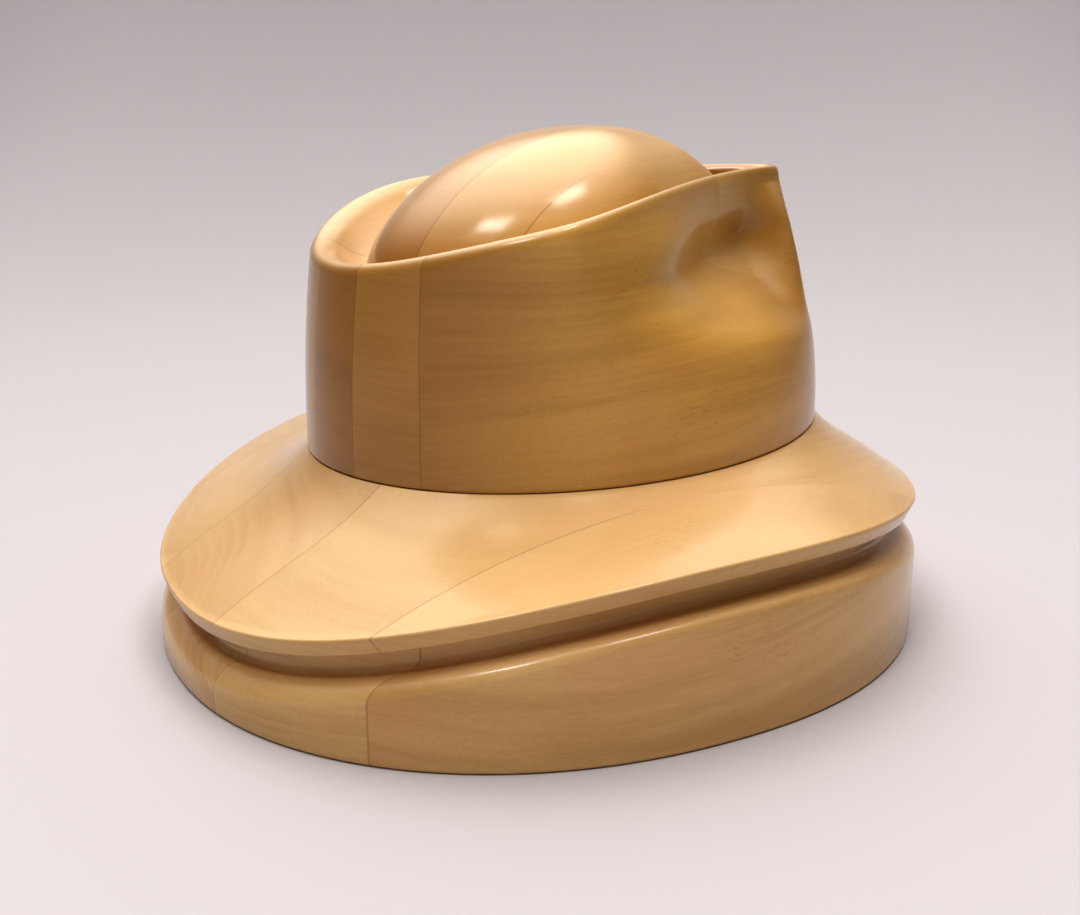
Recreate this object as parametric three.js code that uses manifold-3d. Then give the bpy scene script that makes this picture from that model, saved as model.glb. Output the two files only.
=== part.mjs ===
// Wooden hat block in two parts, in millimetres, +Z up, with the front towards -Y.
// The origin is the middle of the foot's underside. The brim block and the crown block are each
// glued up from upright boards that run from back to front, and the crown block stands on the
// brim block over two wooden dowels.
import * as THREE from "three";
import { LoftGeometry } from "three/addons/geometries/LoftGeometry.js";
import { mergeVertices } from "three/addons/utils/BufferGeometryUtils.js";
import Module from "manifold-3d";

// Foot of the brim block: a slightly squared oval
const FOOT_LENGTH = 285;
const FOOT_WIDTH = 260;
const FOOT_SQUARENESS = 2.16;
const FOOT_CHAMFER = 1.5;

// Brim edge. Its height over the foot is a sum of cosines of the angle from the front:
// low at the back, high along the sides, and dipping again at the front
const EDGE_HEIGHT_WAVES = [49.5, 8.6, -9.5, 1.2, 1.0];
const EDGE_BAND = 6.5;
const EDGE_SETBACK = 1.2;
const EDGE_ARRIS = 0.9;
const EDGE_UNDERCUT = 2;
const BRIM_HOLLOW = 0.06;
const BRIM_STEPS = 7;

// Groove for the tie cord under the brim edge, and the rounded shoulder of the foot below it
const GROOVE_HEIGHT = 9;
const GROOVE_DEPTH = 11.5;
const GROOVE_ROUNDING = 2.5;
const SHOULDER_SIDE_RADIUS = 3;
const SHOULDER_END_RADIUS = 9;
const SHOULDER_STEPS = 3;

// Head oval, where the crown block stands, on a plane that rises a little towards the front
const HEAD_LENGTH = 200;
const HEAD_WIDTH = 162;
const HEAD_AHEAD = 12.5;
const HEAD_NARROWING = 0.025;
const SEAT_HEIGHT = 72;
const SEAT_RISE = 0.02;
const SEAT_GAP = 0.3;

// Teardrop rim of the crown, round at the back and drawn to a point at the front
const RIM_LENGTH = 182.4;
const RIM_AHEAD = 11.7;
const RIM_MIDDLE_HALF_WIDTH = 56.6;
const RIM_BACK_HALF_WIDTH = 82.8;
const RIM_TAPER = 1.03;
const RIM_TIP_WIDTH = 15;
const RIM_CORNER = 20;
const RIM_BACK_HEIGHT = 140.1;
const RIM_FRONT_HEIGHT = 164.8;
const RIM_CLIMB = 3.5;
const RIM_ROLL = 5;
const RIM_ROLL_STEPS = 3;
const RIM_OUTER_SCALE = 1.038;
const RIM_INNER_SCALE = 0.935;
const RIM_INNER_DROP = 2.2;

// Crown wall: it leans in towards the rim, and is pinched in above a ledge on both front sides.
// Levels run from -1 at the seat through 0 at the ledge to 1 under the rim's roll
const WALL_LEVELS = [-1, -0.65, -0.3, -0.12, -0.03, 0.05, 0.14, 0.24, 0.34, 0.44, 0.54, 0.64, 0.74, 0.83, 0.92, 1];
const WALL_LEAN = 2.35;
const LEDGE_HEIGHT = 119;
const LEDGE_FALL = 0.09;
const LEDGE_SOFTNESS = 0.08;
// The first level of each pair is near the front tip, the second at the pinch's back end
const PINCH_DEEPEST = [0.66, 0.42];
const PINCH_BAND = [0.93, 0.74];
const PINCH_TILT_ANGLES = [20, 100];
const PINCH_SWEEP = 1.4;
const PINCH_UNDERCUT = 0.17;
const PINCH_FRONT_ANGLES = [15, 45];
const PINCH_BACK_ANGLES = [62, 114];

// Ditch inside the rim, in shares of the way from the rim to the dome
const DITCH_STATIONS = [0.2, 0.42, 0.68, 1];
const DITCH_BACK_HEIGHT = 131.5;
const DITCH_RISE = 0.155;
const DITCH_SWEEP = 1.6;

// Egg-shaped dome that stands in the ditch, in shares of the way out from its top
const DOME_STATIONS = [0.975, 0.93, 0.86, 0.77, 0.66, 0.53, 0.38, 0.22, 0.08];
const DOME_LENGTH = 147;
const DOME_AHEAD = 8.3;
const DOME_MIDDLE_HALF_WIDTH = 50.8;
const DOME_BACK_HALF_WIDTH = 51.8;
const DOME_TAPER = 0.78;
const DOME_TIP_WIDTH = 14;
const DOME_CORNER = 10;
const DOME_TOP_HEIGHT = 182;
const DOME_TOP_AHEAD = 21.4;
const DOME_CURVE_ALONG = 2.04;
const DOME_CURVE_ACROSS = 2.6;
const DOME_FALL = 0.725;
const DOME_FALL_CHANGE = 0.105;

// Boards, from right to left as the block faces forward: name and the glue plane on the board's
// left. The crown's boards run a few degrees off its long axis
const CROWN_BOARD_TURN = THREE.MathUtils.degToRad(9.4);
const CROWN_BOARDS = [
  ["crown_cheek_right", -35.8],
  ["crown_board_right", -9.8],
  ["crown_board_middle", 16.2],
  ["crown_board_left", 42.2],
  ["crown_cheek_left", 110],
];
const BRIM_BOARDS = [
  ["brim_cheek_right", -91],
  ["brim_board_right", -35],
  ["brim_board_middle", 24],
  ["brim_board_left", 83],
  ["brim_cheek_left", 150],
];

// Dowels between the two blocks, glued into the brim block and loose in the crown block. Both
// stand on the middle line of the crown's middle board, at these places ahead of the foot's middle
const DOWEL_RADIUS = 6;
const DOWEL_CLEARANCE = 0.3;
const DOWEL_IN_BRIM = 22;
const DOWEL_IN_CROWN = 18;
const DOWEL_PLACES = { dowel_front: 62, dowel_back: -38 };
const DOWEL_ASIDE = 3.2;
const DOWEL_SIDES = 20;
const HOLE_SPARE = 2;

// Clear lacquered lime wood, paler on the brim
const DOWEL_COLOUR = 0xc9a063;
const BRIM_COLOUR = 0xd9ae78;
const CROWN_COLOUR = 0xcf9f62;
const LACQUER_ROUGHNESS = 0.3;

const RING_POINTS = 80;
const CUTTER_LENGTH = 400;
const WELD_DISTANCE = 1e-4;

const wasm = await Module();
wasm.setup();

function lime(colour) {
  return new THREE.MeshStandardMaterial({ color: colour, roughness: LACQUER_ROUGHNESS, metalness: 0 });
}

// Small shared sums

const mix = THREE.MathUtils.lerp;
const signedPower = (value, power) => Math.sign(value) * Math.abs(value) ** power;

// The smaller of two widths, with a change from one to the other that is tighter for a high corner
function softLimit(width, limit, corner) {
  return width / (1 + (width / limit) ** corner) ** (1 / corner);
}

// Outlines seen from above. Each gives x across and y ahead of the foot's middle for one turn,
// and turn 0 is the front

function footOutline(turn, inset) {
  const power = 2 / FOOT_SQUARENESS;
  const ahead = (FOOT_LENGTH / 2 - inset) * signedPower(Math.cos(turn), power);
  const across = (FOOT_WIDTH / 2 - inset) * signedPower(Math.sin(turn), power);
  return new THREE.Vector2(across, ahead);
}

function headOutline(turn) {
  const ahead = HEAD_AHEAD + (HEAD_LENGTH / 2) * Math.cos(turn);
  const across = (HEAD_WIDTH / 2) * Math.sin(turn) * (1 - HEAD_NARROWING * Math.cos(turn));
  return new THREE.Vector2(across, ahead);
}

// Both teardrops widen from a small round tip at the front up to a limit round the back
function rimOutline(turn, scale) {
  const forward = Math.cos(turn);
  const tapered = RIM_MIDDLE_HALF_WIDTH * (1 - forward) ** RIM_TAPER;
  const limited = softLimit(tapered, RIM_BACK_HALF_WIDTH, RIM_CORNER);
  const across = Math.hypot(limited, RIM_TIP_WIDTH * (1 + forward) / 2) * Math.sin(turn);
  return new THREE.Vector2(across * scale, RIM_AHEAD + (RIM_LENGTH / 2) * forward * scale);
}

function domeOutline(turn) {
  const forward = Math.cos(turn);
  const tapered = DOME_MIDDLE_HALF_WIDTH * (1 - forward) ** DOME_TAPER;
  const limited = softLimit(tapered, DOME_BACK_HALF_WIDTH, DOME_CORNER);
  const across = Math.hypot(limited, DOME_TIP_WIDTH * (1 + forward) / 2) * Math.sin(turn);
  return new THREE.Vector2(across, DOME_AHEAD + (DOME_LENGTH / 2) * forward);
}

// Heights

const seatHeight = (ahead) => SEAT_HEIGHT + SEAT_RISE * (ahead - HEAD_AHEAD);
const edgeHeight = (turn) => EDGE_HEIGHT_WAVES.reduce((sum, wave, n) => sum + wave * Math.cos(n * turn), 0);

function rimHeight(turn) {
  const fromBack = (1 + Math.cos(turn)) / 2;
  return mix(RIM_FRONT_HEIGHT, RIM_BACK_HEIGHT, (1 - fromBack) ** RIM_CLIMB);
}

const ledgeHeight = (turn) => LEDGE_HEIGHT - LEDGE_FALL * headOutline(turn).y;

function ditchHeight(turn) {
  const backEnd = DOME_AHEAD - DOME_LENGTH / 2;
  return DITCH_BACK_HEIGHT + DITCH_RISE * (domeOutline(turn).y - backEnd);
}

// A ring is one horizontal loop of the surface: place gives its point for each turn
function ring(place) {
  const points = [];
  for (let i = 0; i < RING_POINTS; i++) {
    points.push(place((i / RING_POINTS) * 2 * Math.PI));
  }
  return points;
}

function at(outlinePoint, height) {
  return new THREE.Vector3(outlinePoint.x, -outlinePoint.y, height);
}

// Brim block

function shoulderRadius(turn) {
  return mix(SHOULDER_SIDE_RADIUS, SHOULDER_END_RADIUS, Math.cos(turn) ** 2);
}

const grooveFloor = (turn) => edgeHeight(turn) - EDGE_BAND - GROOVE_HEIGHT;

function footRings() {
  const rings = [
    ring((turn) => at(footOutline(turn, FOOT_CHAMFER), 0)),
    ring((turn) => at(footOutline(turn, 0), FOOT_CHAMFER)),
  ];
  for (let i = 0; i <= SHOULDER_STEPS; i++) {
    const bend = (i / SHOULDER_STEPS) * (Math.PI / 2);
    rings.push(ring((turn) => {
      const radius = shoulderRadius(turn);
      const height = grooveFloor(turn) - radius * (1 - Math.sin(bend));
      return at(footOutline(turn, radius * (1 - Math.cos(bend))), height);
    }));
  }
  return rings;
}

function grooveRings() {
  const stations = [
    [GROOVE_DEPTH - GROOVE_ROUNDING, 0],
    [GROOVE_DEPTH, GROOVE_ROUNDING],
    [GROOVE_DEPTH, GROOVE_HEIGHT - GROOVE_ROUNDING],
    [GROOVE_DEPTH - GROOVE_ROUNDING, GROOVE_HEIGHT],
    [EDGE_SETBACK + EDGE_UNDERCUT + EDGE_ARRIS, GROOVE_HEIGHT],
  ];
  return stations.map(([inset, up]) => ring((turn) => at(footOutline(turn, inset), grooveFloor(turn) + up)));
}

function brimTopRings() {
  const rings = [
    ring((turn) => at(
      footOutline(turn, EDGE_SETBACK + EDGE_UNDERCUT),
      edgeHeight(turn) - EDGE_BAND + EDGE_ARRIS,
    )),
    ring((turn) => at(footOutline(turn, EDGE_SETBACK), edgeHeight(turn) - EDGE_ARRIS)),
  ];
  for (let i = 0; i <= BRIM_STEPS; i++) {
    const inward = i / BRIM_STEPS;
    rings.push(ring((turn) => {
      const edge = footOutline(turn, EDGE_SETBACK + EDGE_ARRIS);
      const head = headOutline(turn);
      const seat = seatHeight(head.y) - SEAT_GAP;
      const climb = inward - BRIM_HOLLOW * Math.sin(Math.PI * inward);
      return at(edge.lerp(head, inward), mix(edgeHeight(turn), seat, climb));
    }));
  }
  return rings;
}

// Crown block

// How much of the pinch there is at one turn: none on the nose and none round the back
function pinchWeight(turn) {
  const angle = THREE.MathUtils.radToDeg(Math.acos(Math.cos(turn)));
  const front = THREE.MathUtils.smoothstep(angle, ...PINCH_FRONT_ANGLES);
  const back = THREE.MathUtils.smoothstep(angle, ...PINCH_BACK_ANGLES);
  return front * (1 - back);
}

// Depth of the pinch at one turn and level: it sweeps in from the ledge, is undercut, and comes
// back out to the band below the rim. Its deepest line climbs towards the front tip
function pinchDepth(turn, level) {
  const angle = THREE.MathUtils.radToDeg(Math.acos(Math.cos(turn)));
  const tilt = THREE.MathUtils.smoothstep(angle, ...PINCH_TILT_ANGLES);
  const deepest = mix(...PINCH_DEEPEST, tilt);
  const band = mix(...PINCH_BAND, tilt);
  const above = (level + Math.hypot(level, LEDGE_SOFTNESS)) / 2;
  const inward = 1 - Math.max(0, 1 - above / deepest) ** PINCH_SWEEP;
  const outward = THREE.MathUtils.smoothstep(above, deepest, band);
  return (1 + PINCH_UNDERCUT) * inward - PINCH_UNDERCUT * outward;
}

// The wall goes over from the head oval at the seat to the rim's outline at the top
function wallPoint(turn, level) {
  const head = headOutline(turn);
  const seat = seatHeight(head.y);
  const top = rimHeight(turn) - RIM_ROLL;
  const height = mix(ledgeHeight(turn), level < 0 ? seat : top, Math.abs(level));
  const lean = ((height - seat) / (top - seat)) ** WALL_LEAN;
  const share = lean + (1 - lean) * pinchWeight(turn) * pinchDepth(turn, level);
  return at(head.lerp(rimOutline(turn, RIM_OUTER_SCALE), share), height);
}

function crownWallRings() {
  return WALL_LEVELS.map((level) => ring((turn) => wallPoint(turn, level)));
}

// Rolled top of the rim, outer side and inner side
function rimRings() {
  const rings = [];
  for (let i = 1; i <= RIM_ROLL_STEPS; i++) {
    const bend = (i / RIM_ROLL_STEPS) * (Math.PI / 2);
    const scale = mix(1, RIM_OUTER_SCALE, Math.cos(bend));
    const drop = RIM_ROLL * (1 - Math.sin(bend));
    rings.push(ring((turn) => at(rimOutline(turn, scale), rimHeight(turn) - drop)));
  }
  for (const inward of [0.5, 1]) {
    const scale = mix(1, RIM_INNER_SCALE, inward);
    const drop = RIM_INNER_DROP * inward ** 2;
    rings.push(ring((turn) => at(rimOutline(turn, scale), rimHeight(turn) - drop)));
  }
  return rings;
}

function ditchRings() {
  return DITCH_STATIONS.map((inward) => ring((turn) => {
    const outline = rimOutline(turn, RIM_INNER_SCALE).lerp(domeOutline(turn), inward);
    const slope = (1 - inward) ** DITCH_SWEEP;
    return at(outline, mix(ditchHeight(turn), rimHeight(turn) - RIM_INNER_DROP, slope));
  }));
}

// Height of the dome over the ditch, 1 at its top and 0 at its foot. It is broader across than
// along, and drawn out more at the front than at the back
function domeFullness(turn, outward) {
  const forward = Math.cos(turn);
  const curve = mix(DOME_CURVE_ACROSS, DOME_CURVE_ALONG, forward ** 2);
  return (1 - outward ** curve) ** (DOME_FALL + DOME_FALL_CHANGE * forward);
}

function domeRings() {
  const top = new THREE.Vector2(0, DOME_TOP_AHEAD);
  return DOME_STATIONS.map((outward) => ring((turn) => {
    const outline = top.clone().lerp(domeOutline(turn), outward);
    return at(outline, mix(ditchHeight(turn), DOME_TOP_HEIGHT, domeFullness(turn, outward)));
  }));
}

// Solids and cuts

function toSolid(geometry) {
  const bare = new THREE.BufferGeometry();
  bare.setAttribute("position", geometry.attributes.position);
  bare.setIndex(geometry.index);
  const merged = mergeVertices(bare, WELD_DISTANCE);
  const vertProperties = new Float32Array(merged.attributes.position.array);
  const triVerts = new Uint32Array(merged.index.array);
  return new wasm.Manifold(new wasm.Mesh({ numProp: 3, vertProperties, triVerts }));
}

function toMesh(solid, name, material) {
  const cut = solid.getMesh();
  const geometry = new THREE.BufferGeometry();
  geometry.setAttribute("position", new THREE.BufferAttribute(cut.vertProperties, 3));
  geometry.setIndex(new THREE.BufferAttribute(cut.triVerts, 1));
  geometry.computeVertexNormals();
  const mesh = new THREE.Mesh(geometry, material);
  mesh.name = name;
  return mesh;
}

// Upright cylinder whose place is given along and across the crown's boards
function uprightCylinder(radius, bottom, top, ahead) {
  const geometry = new THREE.CylinderGeometry(radius, radius, top - bottom, DOWEL_SIDES);
  geometry.rotateX(Math.PI / 2);
  geometry.translate(DOWEL_ASIDE, -ahead, (bottom + top) / 2);
  geometry.rotateZ(CROWN_BOARD_TURN);
  return toSolid(geometry);
}

// Each board is what the next cut takes off the rest of the solid
function sawIntoBoards(solid, boards, turn, colour) {
  let rest = solid;
  return boards.map(([name, plane]) => {
    const slab = new THREE.BoxGeometry(CUTTER_LENGTH, CUTTER_LENGTH, CUTTER_LENGTH);
    slab.translate(plane - CUTTER_LENGTH / 2, 0, 0);
    slab.rotateZ(turn);
    const cutter = toSolid(slab);
    const board = rest.intersect(cutter);
    rest = rest.subtract(cutter);
    return toMesh(board, name, lime(colour));
  });
}

// Assembly

let brimSolid = toSolid(new LoftGeometry(
  [...footRings(), ...grooveRings(), ...brimTopRings()],
  { capStart: true, capEnd: true },
));
let crownSolid = toSolid(new LoftGeometry(
  [...crownWallRings(), ...rimRings(), ...ditchRings(), ...domeRings()],
  { capStart: true, capEnd: true },
));

const hatBlock = new THREE.Group();
for (const [name, ahead] of Object.entries(DOWEL_PLACES)) {
  const bottom = seatHeight(ahead) - DOWEL_IN_BRIM;
  const top = seatHeight(ahead) + DOWEL_IN_CROWN;
  const holeRadius = DOWEL_RADIUS + DOWEL_CLEARANCE;
  const hole = uprightCylinder(holeRadius, bottom - DOWEL_CLEARANCE, top + HOLE_SPARE, ahead);
  brimSolid = brimSolid.subtract(hole);
  crownSolid = crownSolid.subtract(hole);
  hatBlock.add(toMesh(uprightCylinder(DOWEL_RADIUS, bottom, top, ahead), name, lime(DOWEL_COLOUR)));
}
hatBlock.add(...sawIntoBoards(brimSolid, BRIM_BOARDS, 0, BRIM_COLOUR));
hatBlock.add(...sawIntoBoards(crownSolid, CROWN_BOARDS, CROWN_BOARD_TURN, CROWN_COLOUR));

export default hatBlock;
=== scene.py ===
import math

import bmesh
import bpy
from mathutils import Matrix, Vector


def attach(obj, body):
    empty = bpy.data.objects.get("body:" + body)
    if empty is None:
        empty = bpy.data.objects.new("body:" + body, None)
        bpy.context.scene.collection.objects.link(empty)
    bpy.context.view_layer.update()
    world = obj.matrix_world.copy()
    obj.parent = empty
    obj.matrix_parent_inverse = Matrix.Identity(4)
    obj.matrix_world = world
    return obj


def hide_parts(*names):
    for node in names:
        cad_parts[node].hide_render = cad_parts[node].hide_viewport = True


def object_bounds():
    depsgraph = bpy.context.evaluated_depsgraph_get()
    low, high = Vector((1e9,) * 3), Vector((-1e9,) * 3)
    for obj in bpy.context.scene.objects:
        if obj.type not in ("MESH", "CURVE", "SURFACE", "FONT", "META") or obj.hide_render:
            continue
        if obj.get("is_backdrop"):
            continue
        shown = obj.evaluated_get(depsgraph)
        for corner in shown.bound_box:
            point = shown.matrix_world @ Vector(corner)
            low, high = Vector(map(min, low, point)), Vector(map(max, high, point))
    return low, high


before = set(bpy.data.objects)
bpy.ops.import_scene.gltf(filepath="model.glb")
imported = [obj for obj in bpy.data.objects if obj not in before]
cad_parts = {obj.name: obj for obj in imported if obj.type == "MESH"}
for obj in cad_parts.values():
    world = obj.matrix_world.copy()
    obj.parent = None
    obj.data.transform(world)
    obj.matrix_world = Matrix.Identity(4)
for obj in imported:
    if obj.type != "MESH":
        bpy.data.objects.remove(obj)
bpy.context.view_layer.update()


# Brim block
# The lower half of the hat block: five lime wood boards that run from back to front, glued into one
# blank and then carved. It has a flat foot, a groove for the tie cord and a flared brim that runs low
# at the back, rises along the sides and dips at the front. All its sizes are in millimetres.

ring_corners, rod_corners = 320, 48
foot_rings, shoulder_rings, groove_rings, band_rings, edge_rings, brim_rings = 4, 10, 6, 4, 5, 26
foot_length, foot_width, foot_squareness, foot_edge_round = 285.0, 260.0, 2.16, 1.5
edge_height_waves = (49.5, 8.6, -9.5, 1.2, 1.0)
edge_band, edge_setback, edge_round, edge_undercut = 6.5, 1.2, 0.9, 2.0
brim_hollow, brim_hollow_lean = 0.08, 2
groove_height, groove_depth, groove_round = 9.0, 11.5, 2.5
shoulder_side_round, shoulder_end_round = 3.0, 9.0
head_length, head_width, head_ahead, head_narrowing = 200.0, 162.0, 12.5, 0.025
seat_level, seat_rise, seat_gap = 72.0, 0.02, 0.3
crown_turned = math.radians(9.4)
hole_radius, hole_below_seat, hole_above_seat, dowels_aside = 6.3, 22.3, 20.0, 3.2
dowels_ahead = {"dowel_front": 62.0, "dowel_back": -38.0}
weld_distance, crisp_angle = 0.001, math.radians(35)


def mix(a, b, share):
    return a + (b - a) * share


def signed_power(value, power):
    return math.copysign(abs(value) ** power, value)


def steps(count, first=0):
    return [i / count for i in range(first, count + 1)]


def foot_line(turn, inset):
    """Slightly squared oval of the foot: across and ahead for one turn from the front."""
    power = 2 / foot_squareness
    ahead = (foot_length / 2 - inset) * signed_power(math.cos(turn), power)
    across = (foot_width / 2 - inset) * signed_power(math.sin(turn), power)
    return Vector((across, ahead))


def head_line(turn):
    """Head oval, on which the crown block stands."""
    ahead = head_ahead + head_length / 2 * math.cos(turn)
    across = head_width / 2 * math.sin(turn) * (1 - head_narrowing * math.cos(turn))
    return Vector((across, ahead))


def seat_height(ahead):
    return seat_level + seat_rise * (ahead - head_ahead)


def edge_height(turn):
    return sum(wave * math.cos(n * turn) for n, wave in enumerate(edge_height_waves))


def at(line_point, height):
    return Vector((line_point.x, -line_point.y, height))


def foot_ring(inset, height):
    """A ring on the foot's outline, with its inset and height given as numbers or for each turn."""
    def place(turn):
        depth = inset(turn) if callable(inset) else inset
        level = height(turn) if callable(height) else height
        return at(foot_line(turn, depth), level)
    return place


def groove_floor(turn):
    return edge_height(turn) - edge_band - groove_height


def shoulder_round(turn):
    return mix(shoulder_side_round, shoulder_end_round, math.cos(turn) ** 2)


def quarter(bend):
    """Share in and share up along a quarter round, from its upright side to its flat side."""
    return 1 - math.cos(bend * math.pi / 2), math.sin(bend * math.pi / 2)


def brim_block_rings():
    rings = []
    for bend in steps(foot_rings):
        inward, upward = quarter(bend)
        rings.insert(0, foot_ring(foot_edge_round * inward, foot_edge_round * (1 - upward)))
    for bend in steps(shoulder_rings):
        inward, upward = quarter(bend)
        rings.append(foot_ring(
            lambda turn, inward=inward: shoulder_round(turn) * inward,
            lambda turn, upward=upward: (
                groove_floor(turn) - shoulder_round(turn) * (1 - upward)),
        ))
    for bend in steps(groove_rings):
        inward, upward = quarter(bend)
        rings.append(foot_ring(
            groove_depth - groove_round * (1 - upward),
            lambda turn, inward=inward: groove_floor(turn) + groove_round * inward,
        ))
    for bend in steps(groove_rings):
        inward, upward = quarter(bend)
        rings.append(foot_ring(
            groove_depth - groove_round * inward,
            lambda turn, upward=upward: (
                groove_floor(turn) + groove_height - groove_round * (1 - upward)),
        ))
    band_foot = edge_setback + edge_undercut
    for bend in steps(band_rings):
        inward, upward = quarter(bend)
        rings.append(foot_ring(
            band_foot + edge_round * (1 - upward),
            lambda turn, inward=inward: edge_height(turn) - edge_band + edge_round * inward,
        ))
    for share in (0.25, 0.5, 0.75):
        rings.append(foot_ring(
            mix(band_foot, edge_setback, share),
            lambda turn, share=share: (
                edge_height(turn) - mix(edge_band - edge_round, edge_round, share)),
        ))
    for bend in steps(edge_rings):
        inward, upward = quarter(bend)
        rings.append(foot_ring(
            edge_setback + edge_round * inward,
            lambda turn, upward=upward: edge_height(turn) - edge_round * (1 - upward),
        ))
    for inward in steps(brim_rings, first=1):
        def place(turn, inward=inward):
            head = head_line(turn)
            seat = seat_height(head.y) - seat_gap
            climb = inward - brim_hollow * math.sin(math.pi * inward ** brim_hollow_lean)
            line = foot_line(turn, edge_setback + edge_round).lerp(head, inward)
            return at(line, mix(edge_height(turn), seat, climb))
        rings.append(place)
    return rings


def carve(rings):
    """A closed skin: a circle laid on the first ring, extruded from ring to ring and capped."""
    block = bmesh.new()
    turn = block.verts.layers.float.new("turn")
    bmesh.ops.create_circle(block, segments=ring_corners, radius=1)
    for corner in block.verts:
        corner[turn] = math.atan2(corner.co.x, -corner.co.y)
        corner.co = rings[0](corner[turn])
    loop = block.edges[:]
    bmesh.ops.contextual_create(block, geom=loop)
    for place in rings[1:]:
        grown = bmesh.ops.extrude_edge_only(block, edges=loop)["geom"]
        for corner in grown:
            if isinstance(corner, bmesh.types.BMVert):
                corner.co = place(corner[turn])
        loop = [e for e in grown if isinstance(e, bmesh.types.BMEdge) and e.is_boundary]
    bmesh.ops.contextual_create(block, geom=loop)
    bmesh.ops.recalc_face_normals(block, faces=block.faces)
    return block


def saw_board(block, low, high, turned):
    """A copy of the block between two upright glue planes, given across the turned boards."""
    board = block.copy()
    across = Vector((math.cos(turned), math.sin(turned), 0))
    for plane, outward in ((low, -1), (high, 1)):
        everything = board.verts[:] + board.edges[:] + board.faces[:]
        cut = bmesh.ops.bisect_plane(
            board, geom=everything, dist=weld_distance * 2, plane_co=across * plane,
            plane_no=across * outward, clear_outer=True,
        )["geom_cut"]
        rim = [e for e in cut if isinstance(e, bmesh.types.BMEdge)]
        if rim:
            bmesh.ops.edgeloop_fill(board, edges=rim)
    bmesh.ops.recalc_face_normals(board, faces=board.faces)
    return board


def lathe(profile, corners):
    """A skin turned round the upright axis from a line of reaches and heights."""
    skin = bmesh.new()
    line = [skin.verts.new((reach, 0, height)) for reach, height in profile]
    for first, second in zip(line, line[1:]):
        skin.edges.new((first, second))
    bmesh.ops.spin(
        skin, geom=skin.verts[:] + skin.edges[:], cent=(0, 0, 0), axis=(0, 0, 1),
        angle=math.tau, steps=corners, use_merge=True,
    )
    bmesh.ops.remove_doubles(skin, verts=skin.verts, dist=weld_distance)
    bmesh.ops.recalc_face_normals(skin, faces=skin.faces)
    return skin


def turned_rod(profile, ahead):
    """A round rod with its heights given over the seat, upright at one dowel's place."""
    rod = lathe([(reach, seat_height(ahead) + height) for reach, height in profile], rod_corners)
    bmesh.ops.translate(rod, vec=(dowels_aside, -ahead, 0), verts=rod.verts)
    bmesh.ops.rotate(
        rod, cent=(0, 0, 0), matrix=Matrix.Rotation(crown_turned, 3, "Z"), verts=rod.verts,
    )
    return rod


def new_piece(shape, name):
    mesh = bpy.data.meshes.new(name)
    shape.to_mesh(mesh)
    shape.free()
    piece = bpy.data.objects.new(name, mesh)
    bpy.context.scene.collection.objects.link(piece)
    return piece


def drill_dowel_holes(board, name):
    """Bores both dowel holes out of a board that is still in millimetres."""
    bored = new_piece(board, name + "_bored")
    hole = (
        (0, -hole_below_seat), (hole_radius, -hole_below_seat),
        (hole_radius, hole_above_seat), (0, hole_above_seat),
    )
    bits = []
    for ahead in dowels_ahead.values():
        bits.append(new_piece(turned_rod(hole, ahead), "drill_bit"))
        cut = bored.modifiers.new("dowel_hole", "BOOLEAN")
        cut.object, cut.operation, cut.solver = bits[-1], "DIFFERENCE", "EXACT"
    evaluated = bored.evaluated_get(bpy.context.evaluated_depsgraph_get())
    drilled = bmesh.new()
    drilled.from_mesh(evaluated.data)
    for used in (bored, *bits):
        bpy.data.meshes.remove(used.data)
    return drilled


def finish_piece(shape, name):
    """Turns millimetres to metres, smooths the carved faces and keeps the sawn corners crisp."""
    bmesh.ops.scale(shape, vec=(0.001, 0.001, 0.001), verts=shape.verts)
    for face in shape.faces:
        face.smooth = True
    for edge in shape.edges:
        edge.smooth = edge.calc_face_angle(0) < crisp_angle
    return new_piece(shape, name)


def linear(hex_colour):
    """A colour written in sRGB hex, as linear light."""
    parts = [int(hex_colour[i:i + 2], 16) / 255 for i in (1, 3, 5)]
    light = [c / 12.92 if c <= 0.04045 else ((c + 0.055) / 1.055) ** 2.4 for c in parts]
    return (*light, 1.0)


def add(tree, kind, inputs=None, **settings):
    """Adds a shader node with its settings, and sets or links its inputs."""
    node = tree.nodes.new("ShaderNode" + kind)
    for name, value in settings.items():
        setattr(node, name, value)
    for key, value in (inputs or {}).items():
        if isinstance(value, bpy.types.NodeSocket):
            tree.links.new(value, node.inputs[key])
        else:
            node.inputs[key].default_value = value
    return node


def blank_material(name):
    material = bpy.data.materials.new(name)
    material.use_nodes = True
    material.node_tree.nodes.clear()
    return material, material.node_tree


def streaks(across, along):
    """A pattern's scale, from its size in millimetres across the grain and along it."""
    return 1 / across, 1 / along, 1 / across


# Lacquered lime wood: a pale, close-grained wood under several coats of clear gloss lacquer. It gives
# the eye a honey ground with faint growth bands, a fine silk of fibres along the board, soft patches
# that lean to pink, here and there a dark fleck, and a wet-looking shine over all of it.
# Its sizes are in millimetres, and a pair is a size across the grain and along it.
broad_spacing, year_spacing, year_shown_size = 14, 3.2, (30, 120)
ring_wander, ring_wander_size, ring_change_along = 26, (90, 220), 160
fibre_size, patch_size, fleck_size, fleck_cluster_size = (0.8, 30), (40, 90), (0.6, 4), (22, 45)
fibre_relief, lacquer_flow_relief, lacquer_flow_size = 0.03, 0.12, (16, 22)
glue_line_reach, glue_line_strength, glue_seen_along = (0.1, 0.32), 0.35, (-5, 30)
front_dark_along, painted_light_depth = (-35, -95), 35
# the pale cream is painted light, laid on upward faces high up
fleck_brown, deep_brown, painted_light_cream, glue_brown = "#7a5230", "#7f4d18", "#eecba8", "#6b4420"


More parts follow.
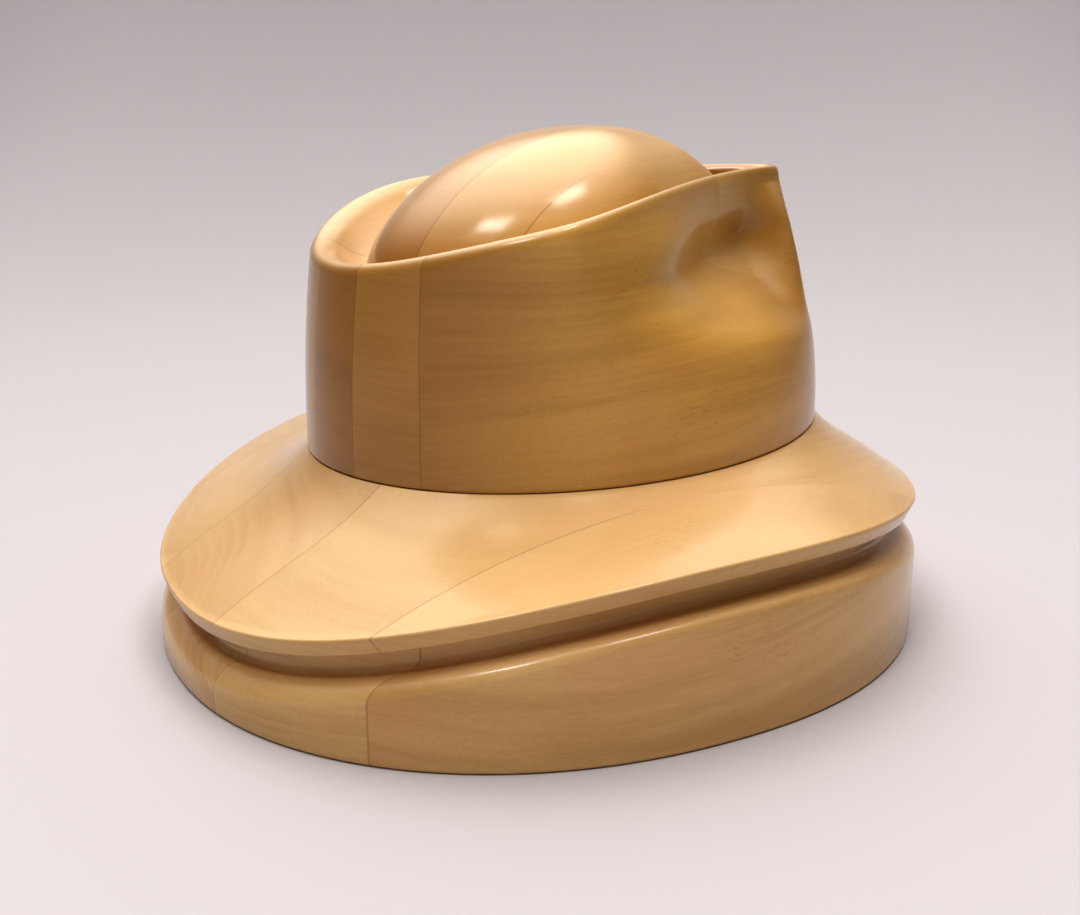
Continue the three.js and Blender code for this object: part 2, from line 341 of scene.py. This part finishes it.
def lacquered_lime(
    name, turned, low, high, heart, lean, straw, honey, rose, end_dark, painted_light, painted_light_above,
):
    material, tree = blank_material(name)
    place = add(tree, "TexCoord").outputs["Object"]
    # the board's own millimetres: X across it, Y along its grain
    board = add(tree, "Mapping", {
        "Vector": place, "Rotation": (0, 0, -turned), "Scale": (1000, 1000, 1000),
    }).outputs[0]
    board_sides = add(tree, "SeparateXYZ", {0: board})
    across_board, along_board = board_sides.outputs["X"], board_sides.outputs["Y"]

    # growth rings lie round the tree's heart, which leans a few degrees, and they wander a little
    grain = add(tree, "Mapping", {
        "Vector": board, "Location": (-heart[0], 0, -heart[1]), "Rotation": lean,
    }).outputs[0]
    wander_place = add(tree, "Mapping", {
        "Vector": grain, "Scale": streaks(*ring_wander_size),
    }).outputs[0]
    wander = add(tree, "TexNoise", {
        "Vector": wander_place, "Scale": 1, "Detail": 1,
    }).outputs["Color"]
    centred = add(tree, "VectorMath", {
        0: wander, 1: (0.5, 0.5, 0.5),
    }, operation="SUBTRACT").outputs[0]
    bent = add(tree, "VectorMath", {
        0: centred, 1: (ring_wander, 0, ring_wander), 2: grain,
    }, operation="MULTIPLY_ADD").outputs[0]
    around = add(tree, "VectorMath", {0: bent, 1: (1, 0, 1)}, operation="MULTIPLY").outputs[0]
    radius = add(tree, "VectorMath", {0: around}, operation="LENGTH").outputs["Value"]
    # broad bands, which change slowly along the board
    along = add(tree, "Math", {
        0: along_board, 1: 1 / ring_change_along,
    }, operation="MULTIPLY").outputs[0]
    broad_at = add(tree, "Math", {0: radius, 1: 1 / broad_spacing}, operation="MULTIPLY").outputs[0]
    broad_place = add(tree, "CombineXYZ", {"X": broad_at, "Y": along}).outputs[0]
    broad = add(tree, "TexNoise", {
        "Vector": broad_place, "Scale": 1, "Detail": 4, "Roughness": 0.55,
    }).outputs["Fac"]
    # inside them single years, which darken slowly, end sharply and show only here and there
    year = add(tree, "Math", {0: radius, 1: 1 / year_spacing}, operation="MULTIPLY").outputs[0]
    season = add(tree, "Math", {0: year}, operation="FRACT").outputs[0]
    late = add(tree, "ValToRGB", {"Fac": season})
    late.color_ramp.elements[0].color = (0, 0, 0, 1)
    late.color_ramp.elements[1].position = 0.85
    late.color_ramp.elements[1].color = (1, 1, 1, 1)
    late.color_ramp.elements.new(1.0).color = (0, 0, 0, 1)
    shown_place = add(tree, "Mapping", {
        "Vector": grain, "Location": (7, 3, 5), "Scale": streaks(*year_shown_size),
    }).outputs[0]
    shown = add(tree, "TexNoise", {"Vector": shown_place, "Scale": 1, "Detail": 1}).outputs["Fac"]
    shown_share = add(tree, "MapRange", {
        "Value": shown, "From Min": 0.42, "From Max": 0.7,
    }).outputs["Result"]
    years = add(tree, "Math", {
        0: late.outputs["Color"], 1: shown_share,
    }, operation="MULTIPLY").outputs[0]

    # fibres, coarser than real ones so that they show
    fibre_place = add(tree, "Mapping", {"Vector": grain, "Scale": streaks(*fibre_size)}).outputs[0]
    fibres = add(tree, "TexNoise", {
        "Vector": fibre_place, "Scale": 1, "Detail": 3, "Roughness": 0.6,
    }).outputs["Fac"]
    # soft patches that lean to pink
    patch_place = add(tree, "Mapping", {"Vector": grain, "Scale": streaks(*patch_size)}).outputs[0]
    patches = add(tree, "TexNoise", {"Vector": patch_place, "Scale": 1, "Detail": 3}).outputs["Fac"]
    # dark flecks, which lie together in a few clusters
    fleck_place = add(tree, "Mapping", {"Vector": grain, "Scale": streaks(*fleck_size)}).outputs[0]
    fleck = add(tree, "TexNoise", {"Vector": fleck_place, "Scale": 1, "Detail": 1}).outputs["Fac"]
    cluster_place = add(tree, "Mapping", {
        "Vector": grain, "Location": (3, 8, 1), "Scale": streaks(*fleck_cluster_size),
    }).outputs[0]
    cluster = add(tree, "TexNoise", {
        "Vector": cluster_place, "Scale": 1, "Detail": 2,
    }).outputs["Fac"]

    band_share = add(tree, "MapRange", {
        "Value": broad, "From Min": 0.38, "From Max": 0.68, "To Max": 0.58,
    }, interpolation_type="SMOOTHSTEP").outputs["Result"]
    year_share = add(tree, "Math", {
        0: years, 1: 0.28, 2: band_share,
    }, operation="MULTIPLY_ADD").outputs[0]
    fibre_share = add(tree, "MapRange", {
        "Value": fibres, "From Min": 0.35, "From Max": 0.7, "To Min": -0.08, "To Max": 0.15,
    }).outputs["Result"]
    honey_share = add(tree, "Math", {
        0: year_share, 1: fibre_share,
    }, operation="ADD", use_clamp=True).outputs[0]
    rose_share = add(tree, "MapRange", {
        "Value": patches, "From Min": 0.42, "From Max": 0.68, "To Max": 0.55,
    }, interpolation_type="SMOOTHSTEP").outputs["Result"]
    fleck_strength = add(tree, "MapRange", {
        "Value": fleck, "From Min": 0.58, "From Max": 0.7, "To Max": 0.24,
    }, interpolation_type="SMOOTHSTEP").outputs["Result"]
    clustered = add(tree, "MapRange", {
        "Value": cluster, "From Min": 0.55, "From Max": 0.7,
    }).outputs["Result"]
    fleck_share = add(tree, "Math", {
        0: fleck_strength, 1: clustered,
    }, operation="MULTIPLY").outputs[0]

    # darker towards the front end of the board
    front_dark_share = add(tree, "MapRange", {
        "Value": along_board, "From Min": front_dark_along[0], "From Max": front_dark_along[1],
        "To Max": end_dark,
    }, interpolation_type="SMOOTHSTEP").outputs["Result"]

    # painted light: where it faces up, and most of all above one height, a pale cream is painted over
    # it for the light that falls from above
    facing = add(tree, "NewGeometry").outputs["Normal"]
    upward = add(tree, "SeparateXYZ", {0: facing}).outputs["Z"]
    painted_light_share = add(tree, "MapRange", {
        "Value": upward, "From Min": 0.3, "From Max": 0.75, "To Max": painted_light,
    }, interpolation_type="SMOOTHSTEP").outputs["Result"]
    height = add(tree, "SeparateXYZ", {0: place}).outputs["Z"]
    high_up = add(tree, "MapRange", {
        "Value": height, "From Min": painted_light_above - painted_light_depth / 1000, "From Max": painted_light_above,
    }, interpolation_type="SMOOTHSTEP").outputs["Result"]
    painted_light_shown = add(tree, "Math", {0: painted_light_share, 1: high_up}, operation="MULTIPLY").outputs[0]

    # end grain, where the surface faces along the board, drinks the lacquer and is darker
    grain_way = (-math.sin(turned), math.cos(turned), 0)
    endwise = add(tree, "VectorMath", {
        0: facing, 1: grain_way,
    }, operation="DOT_PRODUCT").outputs["Value"]
    either_end = add(tree, "Math", {0: endwise}, operation="ABSOLUTE").outputs[0]
    end_share = add(tree, "MapRange", {
        "Value": either_end, "From Min": 0.35, "From Max": 0.95, "To Max": end_dark,
    }, interpolation_type="SMOOTHSTEP").outputs["Result"]

    # glue line: a hair of darker glue where this board meets the next one on either side
    glue_shares = []
    for upper, lower in ((across_board, low), (high, across_board)):
        distance = add(tree, "Math", {0: upper, 1: lower}, operation="SUBTRACT").outputs[0]
        glue_shares.append(add(tree, "MapRange", {
            "Value": distance, "From Min": glue_line_reach[0], "From Max": glue_line_reach[1],
            "To Min": glue_line_strength, "To Max": 0,
        }, interpolation_type="SMOOTHSTEP").outputs["Result"])
    glue_share = add(tree, "Math", {
        0: glue_shares[0], 1: glue_shares[1],
    }, operation="ADD").outputs[0]
    # towards the front of the block it is too well closed to see
    open_share = add(tree, "MapRange", {
        "Value": along_board, "From Min": glue_seen_along[0], "From Max": glue_seen_along[1],
    }, interpolation_type="SMOOTHSTEP").outputs["Result"]
    glue_shown = add(tree, "Math", {0: glue_share, 1: open_share}, operation="MULTIPLY").outputs[0]

    # each tone lies over the ones before it
    colour = linear(straw)
    for share, tone in (
        (rose_share, rose), (honey_share, honey), (fleck_share, fleck_brown),
        (front_dark_share, deep_brown), (painted_light_shown, painted_light_cream),
        (end_share, deep_brown), (glue_shown, glue_brown),
    ):
        colour = add(tree, "Mix", {
            0: share, 6: colour, 7: linear(tone),
        }, data_type="RGBA").outputs[2]

    # the fibres stand out a little under the lacquer, which has flowed in shallow waves itself
    grain_relief = add(tree, "Bump", {
        "Strength": 0.25, "Distance": fibre_relief / 1000, "Height": fibres,
    }).outputs[0]
    flow_place = add(tree, "Mapping", {
        "Vector": board, "Scale": streaks(*lacquer_flow_size),
    }).outputs[0]
    flow = add(tree, "TexNoise", {"Vector": flow_place, "Scale": 1, "Detail": 3}).outputs["Fac"]
    lacquer_relief = add(tree, "Bump", {
        "Strength": 1.0, "Distance": lacquer_flow_relief / 1000, "Height": flow,
    }).outputs[0]
    wood = add(tree, "BsdfPrincipled", {
        "Base Color": colour, "Roughness": 0.42, "IOR": 1.5, "Specular IOR Level": 0.12,
        "Normal": grain_relief, "Coat Weight": 1.0, "Coat Roughness": 0.18, "Coat IOR": 1.5,
        "Coat Normal": lacquer_relief,
    })
    add(tree, "OutputMaterial", {"Surface": wood.outputs[0]})
    return material


brim_boards = (
    # name, glue planes across, heart of the tree across and up, its lean, straw, honey, rose
    ("brim_cheek_right", -150, -91, (-80, -140), (0.05, 0.0, 0.10), "#d3af78", "#b78f51", "#d0a36f"),
    ("brim_board_right", -91, -35, (-30, 210), (-0.06, 0.0, -0.08), "#d6b37b", "#ba9254", "#d2a772"),
    ("brim_board_middle", -35, 24, (10, -90), (0.05, 0.0, 0.06), "#d2af7a", "#b68e50", "#d1a274"),
    ("brim_board_left", 24, 83, (70, 190), (0.06, 0.0, -0.06), "#d5b17b", "#b99153", "#cfa36e"),
    ("brim_cheek_left", 83, 150, (80, -140), (-0.05, 0.0, -0.10), "#d3af78", "#b78f51", "#d0a36f"),
)
brim_block = carve(brim_block_rings())
for name, low, high, heart, lean, straw, honey, rose in brim_boards:
    board = saw_board(brim_block, low, high, 0)
    if name == "brim_board_middle":
        board = drill_dowel_holes(board, name)
    piece = finish_piece(board, name + "_wood")
    piece.data.materials.append(lacquered_lime(
        name + "_lacquered_lime", 0, low, high, heart, lean, straw, honey, rose,
        # the last two give the strength and the height of the painted light on upward faces
        end_dark=0.12, painted_light=0.22, painted_light_above=0.03,
    ))
    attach(piece, "brim_block")
    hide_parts(name)
brim_block.free()


# Crown block
# The upper half: five lime wood boards, glued a few degrees off the hat's long axis and carved to an
# oval wall with a pinch on both front sides, a rim in a teardrop outline that climbs to the front,
# and an egg-shaped dome in the ditch inside it. It stands loose on the brim block.

rim_length, rim_ahead = 182.4, 11.7
rim_middle_half_width, rim_back_half_width = 56.6, 82.8
rim_taper, rim_tip_width, rim_corner = 1.03, 15.0, 20
rim_back_height, rim_front_height, rim_climb, rim_roll = 140.1, 164.8, 3.5, 5.0
rim_outer_scale, rim_inner_scale, rim_inner_drop = 1.038, 0.935, 2.2
wall_lean = 2.35
ledge_level, ledge_fall, ledge_softness = 119.0, 0.09, 0.08
pinch_deepest, pinch_band, pinch_tilt_angles = (0.66, 0.42), (0.93, 0.74), (20, 100)
pinch_sweep, pinch_undercut = 1.4, 0.17
pinch_front_angles, pinch_back_angles = (15, 45), (62, 114)
ditch_back_height, ditch_rise, ditch_sweep = 131.5, 0.155, 1.6
dome_length, dome_ahead = 147.0, 8.3
dome_middle_half_width, dome_back_half_width = 50.8, 51.8
dome_taper, dome_tip_width, dome_corner = 0.78, 14.0, 10
dome_top_height, dome_top_ahead = 181.95, 21.4
dome_curve_along, dome_curve_across, dome_fall, dome_fall_change = 2.04, 2.6, 0.725, 0.105
crown_edge_round, lowest_wall_level, dome_last_ring = 0.9, -0.97, 0.985
crown_edge_rings, lower_wall_rings, upper_wall_rings = 3, 16, 40
roll_rings, inner_rim_rings, ditch_rings, dome_rings = 8, 8, 14, 40


def smoothstep(value, low, high):
    share = min(max((value - low) / (high - low), 0), 1)
    return share * share * (3 - 2 * share)


def soft_limit(width, limit, corner):
    return width / (1 + (width / limit) ** corner) ** (1 / corner)


def rim_line(turn, scale):
    """Teardrop of the rim: a small round tip at the front, widening to a limit round the back."""
    forward = math.cos(turn)
    tapered = rim_middle_half_width * (1 - forward) ** rim_taper
    limited = soft_limit(tapered, rim_back_half_width, rim_corner)
    across = math.hypot(limited, rim_tip_width * (1 + forward) / 2) * math.sin(turn)
    return Vector((across * scale, rim_ahead + rim_length / 2 * forward * scale))


def dome_line(turn):
    """Egg of the dome's foot, narrow to the front."""
    forward = math.cos(turn)
    tapered = dome_middle_half_width * (1 - forward) ** dome_taper
    limited = soft_limit(tapered, dome_back_half_width, dome_corner)
    across = math.hypot(limited, dome_tip_width * (1 + forward) / 2) * math.sin(turn)
    return Vector((across, dome_ahead + dome_length / 2 * forward))


def rim_height(turn):
    from_front = (1 - math.cos(turn)) / 2
    return mix(rim_front_height, rim_back_height, from_front ** rim_climb)


def ledge_height(turn):
    return ledge_level - ledge_fall * head_line(turn).y


def ditch_height(turn):
    back_end = dome_ahead - dome_length / 2
    return ditch_back_height + ditch_rise * (dome_line(turn).y - back_end)


def pinch_weight(turn):
    """How much of the pinch there is at one turn: none on the nose and none round the back."""
    angle = math.degrees(math.acos(math.cos(turn)))
    return smoothstep(angle, *pinch_front_angles) * (1 - smoothstep(angle, *pinch_back_angles))


def pinch_depth(turn, level):
    """The pinch sweeps in above the ledge, is undercut, and comes out in the band below the rim."""
    angle = math.degrees(math.acos(math.cos(turn)))
    tilt = smoothstep(angle, *pinch_tilt_angles)
    deepest, band = mix(*pinch_deepest, tilt), mix(*pinch_band, tilt)
    above = (level + math.hypot(level, ledge_softness)) / 2
    inward = 1 - max(0, 1 - above / deepest) ** pinch_sweep
    outward = smoothstep(above, deepest, band)
    return (1 + pinch_undercut) * inward - pinch_undercut * outward


def wall_point(turn, level):
    head = head_line(turn)
    seat = seat_height(head.y)
    top = rim_height(turn) - rim_roll
    height = mix(ledge_height(turn), seat if level < 0 else top, abs(level))
    lean = ((height - seat) / (top - seat)) ** wall_lean
    share = lean + (1 - lean) * pinch_weight(turn) * pinch_depth(turn, level)
    return at(head.lerp(rim_line(turn, rim_outer_scale), share), height)


def dome_point(turn, outward):
    """The dome is broader across than along, and drawn out more at the front than at the back."""
    forward = math.cos(turn)
    curve = mix(dome_curve_across, dome_curve_along, forward ** 2)
    fullness = (1 - outward ** curve) ** (dome_fall + dome_fall_change * forward)
    line = Vector((0, dome_top_ahead)).lerp(dome_line(turn), outward)
    return at(line, mix(ditch_height(turn), dome_top_height, fullness))


def crown_block_rings():
    rings = []
    for bend in steps(crown_edge_rings):
        inward, upward = quarter(bend)

        def place(turn, inward=inward, upward=upward):
            foot = wall_point(turn, -1)
            middle = Vector((0, -head_ahead, foot.z))
            inset = crown_edge_round * inward
            ring_point = foot.lerp(middle, inset / (foot - middle).length)
            ring_point.z += crown_edge_round * (1 - upward)
            return ring_point
        rings.insert(0, place)
    for share in steps(lower_wall_rings):
        level = mix(lowest_wall_level, 0, share)
        rings.append(lambda turn, level=level: wall_point(turn, level))
    for level in steps(upper_wall_rings, first=1):
        rings.append(lambda turn, level=level: wall_point(turn, level))
    for bend in steps(roll_rings, first=1):
        inward, upward = quarter(bend)
        rings.append(lambda turn, inward=inward, upward=upward: at(
            rim_line(turn, mix(rim_outer_scale, 1, inward)),
            rim_height(turn) - rim_roll * (1 - upward)))
    for inward in steps(inner_rim_rings, first=1):
        rings.append(lambda turn, inward=inward: at(
            rim_line(turn, mix(1, rim_inner_scale, inward)),
            rim_height(turn) - rim_inner_drop * inward ** 2))
    for inward in steps(ditch_rings, first=1):
        rings.append(lambda turn, inward=inward: at(
            rim_line(turn, rim_inner_scale).lerp(dome_line(turn), inward),
            mix(ditch_height(turn), rim_height(turn) - rim_inner_drop, (1 - inward) ** ditch_sweep)))
    for inward in steps(dome_rings, first=1):
        outward = math.cos(inward * math.pi / 2 * dome_last_ring)
        rings.append(lambda turn, outward=outward: dome_point(turn, outward))
    return rings


crown_boards = (
    # the same as for the brim's boards, with the glue planes across the turned block
    ("crown_cheek_right", -110, -35.8, (-60, -120), (0.03, 0.0, 0.05), "#cda257", "#af8540", "#c99a55"),
    ("crown_board_right", -35.8, -9.8, (-20, 320), (-0.04, 0.0, 0.04), "#d3aa5e", "#b68c46", "#cc9f5a"),
    ("crown_board_middle", -9.8, 16.2, (40, -60), (0.04, 0.0, -0.05), "#bb8f49", "#9f7435", "#b98a48"),
    ("crown_board_left", 16.2, 42.2, (80, 300), (-0.04, 0.0, 0.04), "#cca258", "#af8440", "#c79954"),
    ("crown_cheek_left", 42.2, 110, (60, -120), (0.03, 0.0, -0.05), "#cda257", "#af8540", "#c99a55"),
)
crown_block = carve(crown_block_rings())
for name, low, high, heart, lean, straw, honey, rose in crown_boards:
    board = saw_board(crown_block, low, high, crown_turned)
    if name == "crown_board_middle":
        board = drill_dowel_holes(board, name)
    piece = finish_piece(board, name + "_wood")
    piece.data.materials.append(lacquered_lime(
        name + "_lacquered_lime", crown_turned, low, high, heart, lean, straw, honey, rose,
        # the last two give the strength and the height of the painted light on upward faces
        end_dark=0.5, painted_light=0.54, painted_light_above=0.15,
    ))
    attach(piece, "crown_block")
    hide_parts(name)
crown_block.free()


# Dowels
# Two plain wooden pegs with chamfered ends, glued upright into the brim block. The crown block drops
# over them and lifts off them, so they show only while it is off.

dowel_radius, dowel_in_brim, dowel_in_crown, dowel_chamfer = 6.0, 22.0, 18.0, 1.2
dowel_fibre_across, dowel_fibre_along = 0.7, 20


# Sanded dowel wood: bare birch, turned and left unlacquered. It gives the eye a pale dry straw with
# fine brown fibres that run up the peg.
def sanded_dowel_wood():
    material, tree = blank_material("sanded_dowel_wood")
    place = add(tree, "TexCoord").outputs["Object"]
    across, along = 1000 / dowel_fibre_across, 1000 / dowel_fibre_along
    fibre_place = add(tree, "Mapping", {
        "Vector": place, "Scale": (across, across, along),
    }).outputs[0]
    fibres = add(tree, "TexNoise", {"Vector": fibre_place, "Scale": 1, "Detail": 3}).outputs["Fac"]
    share = add(tree, "MapRange", {
        "Value": fibres, "From Min": 0.35, "From Max": 0.7,
    }).outputs["Result"]
    grained = add(tree, "Mix", {
        0: share, 6: linear("#dcbd8b"), 7: linear("#b88f58"),
    }, data_type="RGBA").outputs[2]
    relief = add(tree, "Bump", {"Strength": 0.5, "Distance": 0.00005, "Height": fibres}).outputs[0]
    wood = add(tree, "BsdfPrincipled", {"Base Color": grained, "Roughness": 0.7, "Normal": relief})
    add(tree, "OutputMaterial", {"Surface": wood.outputs[0]})
    return material


dowel_wood = sanded_dowel_wood()
dowel_end = dowel_radius - dowel_chamfer
dowel_profile = (
    (0, -dowel_in_brim), (dowel_end, -dowel_in_brim), (dowel_radius, dowel_chamfer - dowel_in_brim),
    (dowel_radius, dowel_in_crown - dowel_chamfer), (dowel_end, dowel_in_crown), (0, dowel_in_crown),
)
for name, ahead in dowels_ahead.items():
    piece = finish_piece(turned_rod(dowel_profile, ahead), name + "_peg")
    piece.data.materials.append(dowel_wood)
    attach(piece, "brim_block")
    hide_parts(name)


# Floor and studio light
# Pale matt paper lies under the block and rises round it in a wide bowl. The room is brightest high up
# on the far side. A soft panel hangs from the ceiling, and two small lamps beside it. It is in metres.

floor_reach, bowl_radius, bowl_arc = 0.7, 0.8, math.radians(74)
bowl_rings, bowl_corners = 20, 128
shade_way, shade_from, shade_to = (0.47, 0.88, 0), 0.45, 1.2


# Matt paper: uncoated studio paper. It gives the eye a pale grey ground without a shine, in shade to
# the left and to the right, past the picture's edges.
def matt_paper():
    material, tree = blank_material("matt_paper")
    place = add(tree, "TexCoord").outputs["Object"]
    leftward = add(tree, "VectorMath", {
        0: place, 1: shade_way,
    }, operation="DOT_PRODUCT").outputs["Value"]
    sideward = add(tree, "Math", {0: leftward}, operation="ABSOLUTE").outputs[0]
    shade = add(tree, "MapRange", {
        "Value": sideward, "From Min": shade_from, "From Max": shade_to, "To Max": 0.8,
    }, interpolation_type="SMOOTHSTEP").outputs["Result"]
    shaded = add(tree, "Mix", {
        0: shade, 6: linear("#bfbabc"), 7: linear("#4a4746"),
    }, data_type="RGBA").outputs[2]
    paper = add(tree, "BsdfPrincipled", {"Base Color": shaded, "Roughness": 0.8})
    add(tree, "OutputMaterial", {"Surface": paper.outputs[0]})
    return material


reach_and_rise = [(0, 0), (0.4, 0), (0.65, 0), (floor_reach, 0)]
for bend in steps(bowl_rings, first=1):
    angle = bend * bowl_arc
    reach_and_rise.append((
        floor_reach + bowl_radius * math.sin(angle), bowl_radius * (1 - math.cos(angle)),
    ))
bowl = lathe(reach_and_rise, bowl_corners)
for face in bowl.faces:
    face.smooth = True
paper_bowl = new_piece(bowl, "paper_bowl")
paper_bowl.data.materials.append(matt_paper())
paper_bowl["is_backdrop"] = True

world = bpy.data.worlds.new("studio")
world.use_nodes = True
room = world.node_tree
room.nodes.clear()
direction = add(room, "TexCoord").outputs["Generated"]
# brightest on the far side, 67 degrees above the floor
bright_way = (0.38, -0.1, 0.92)
nearness = add(room, "VectorMath", {
    0: direction, 1: bright_way,
}, operation="DOT_PRODUCT").outputs["Value"]
brightness = add(room, "MapRange", {
    "Value": nearness, "From Min": 0.62, "From Max": 0.96, "To Min": 0.075, "To Max": 1.6,
}, interpolation_type="SMOOTHSTEP").outputs["Result"]
air = add(room, "Background", {"Color": linear("#fffdfc"), "Strength": brightness})
add(room, "OutputWorld", {"Surface": air.outputs[0]})
bpy.context.scene.world = world


light_target = Vector((0, 0, 0.1))


def soft_light(name, place, size, power, colour):
    """A softbox at one place, aimed at the hat block."""
    lamp = bpy.data.lights.new(name, "AREA")
    lamp.shape = "RECTANGLE"
    lamp.size, lamp.size_y = size
    lamp.energy = power
    lamp.color = linear(colour)[:3]
    holder = bpy.data.objects.new(name, lamp)
    holder.location = place
    holder.rotation_euler = (light_target - Vector(place)).to_track_quat("-Z", "Y").to_euler()
    bpy.context.scene.collection.objects.link(holder)
    return holder


ceiling_panel = soft_light("ceiling_panel", (0.05, 0, 1.8), (1.3, 1.3), 11.4, "#fffdfa")
# it lights the block but isn't mirrored in the lacquer
ceiling_panel.visible_glossy = False
soft_light("lamp_ahead", (-0.62, -0.2, 1.56), (0.46, 0.24), 3.4, "#fffcf6")
soft_light("lamp_behind", (-0.46, 0.71, 1.45), (0.44, 0.22), 4.0, "#fffcf6")
bpy.context.scene.view_settings.view_transform = "Standard"
bpy.context.scene.view_settings.look = "High Contrast"


# Camera
# It stands at the photograph's viewing angle, low over the back right of the hat block, and frames
# the block as the photograph does.

heading, pitch_down = (0.8829, -0.4695), math.radians(16.62)
camera_data = bpy.data.cameras.new("camera")
camera_data.sensor_width = 36
camera_data.lens = 46.78
camera = bpy.data.objects.new("camera", camera_data)
camera.location = (-0.452, 0.240, 0.212)
looking = Vector((
    heading[0] * math.cos(pitch_down), heading[1] * math.cos(pitch_down), -math.sin(pitch_down),
))
camera.rotation_euler = looking.to_track_quat("-Z", "Y").to_euler()
bpy.context.scene.collection.objects.link(camera)
bpy.context.scene.camera = camera

low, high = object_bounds()
